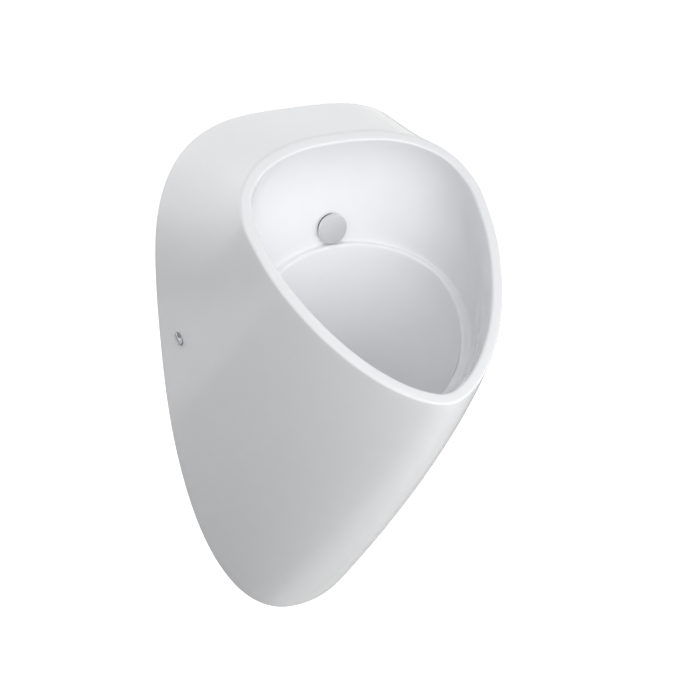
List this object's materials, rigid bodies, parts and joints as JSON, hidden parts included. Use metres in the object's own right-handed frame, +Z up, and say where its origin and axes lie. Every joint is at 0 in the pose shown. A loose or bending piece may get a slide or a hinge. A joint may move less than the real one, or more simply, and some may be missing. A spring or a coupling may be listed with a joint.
{
  "type": "wall hung urinal",
  "caption": "White china bowl urinal that hangs on a wall, with a tilted oval mouth, a flush ledge, a round spray head and a hidden trap.",
  "frame": {"origin": "on the wall's plane, in the middle of the body, level with the two side screws and midway between the wall bolts", "axes": "+Z up, +Y into the wall, -Y out of the wall towards the user, +X to the user's right"},
  "size_m": [0.3182, 0.3769, 0.6401],
  "materials": {
    "vitreous_china": "glossy white glaze",
    "satin_chrome": "satin",
    "polished_chrome": "polished",
    "chromed_brass": "polished",
    "chromed_pipe": "polished",
    "brass": "machined",
    "stainless_steel": "pressed and polished",
    "rubber": "moulded, matt",
    "white_polypropylene": "moulded",
    "grey_nylon": "moulded",
    "zinc_plated_steel": "zinc plated"
  },
  "bodies": {
    "root": {"ceramic_body": "vitreous_china", "spray_head": "chromed_brass", "spray_gasket": "rubber", "spray_washer": "rubber", "spray_nut": "brass", "flush_pipe": "chromed_pipe", "flush_union_nut": "chromed_brass", "flush_grommet": "rubber", "drain_gasket": "rubber", "drain_flange": "chromed_brass", "drain_washer": "rubber", "drain_nut": "brass", "trap_bend": "white_polypropylene", "trap_seal": "rubber", "trap_inlet_nut": "white_polypropylene", "trap_outlet_nut": "white_polypropylene", "outlet_bend": "white_polypropylene", "outlet_sleeve": "rubber", "bracket_right": "zinc_plated_steel", "weld_nut_right": "zinc_plated_steel", "fixing_bush_right": "grey_nylon", "fixing_screw_right": "zinc_plated_steel", "bracket_left": "zinc_plated_steel", "weld_nut_left": "zinc_plated_steel", "fixing_bush_left": "grey_nylon", "fixing_screw_left": "zinc_plated_steel"},
    "strainer": {"strainer": "stainless_steel"},
    "spray_disc": {"spray_disc": "satin_chrome"},
    "cap_right": {"cap_right": "polished_chrome"},
    "cap_left": {"cap_left": "polished_chrome"}
  },
  "joints": [
    {"name": "strainer_lift", "type": "slide", "parent": "root", "child": "strainer", "axis": [0, 0, 1], "range_m": [0, 0.06]},
    {"name": "spray_disc_pull", "type": "slide", "parent": "root", "child": "spray_disc", "axis": [0, -1, 0], "range_m": [0, 0.02]},
    {"name": "cap_right_pull", "type": "slide", "parent": "root", "child": "cap_right", "axis": [1, 0, 0], "range_m": [0, 0.015]},
    {"name": "cap_left_pull", "type": "slide", "parent": "root", "child": "cap_left", "axis": [-1, 0, 0], "range_m": [0, 0.015]}
  ]
}
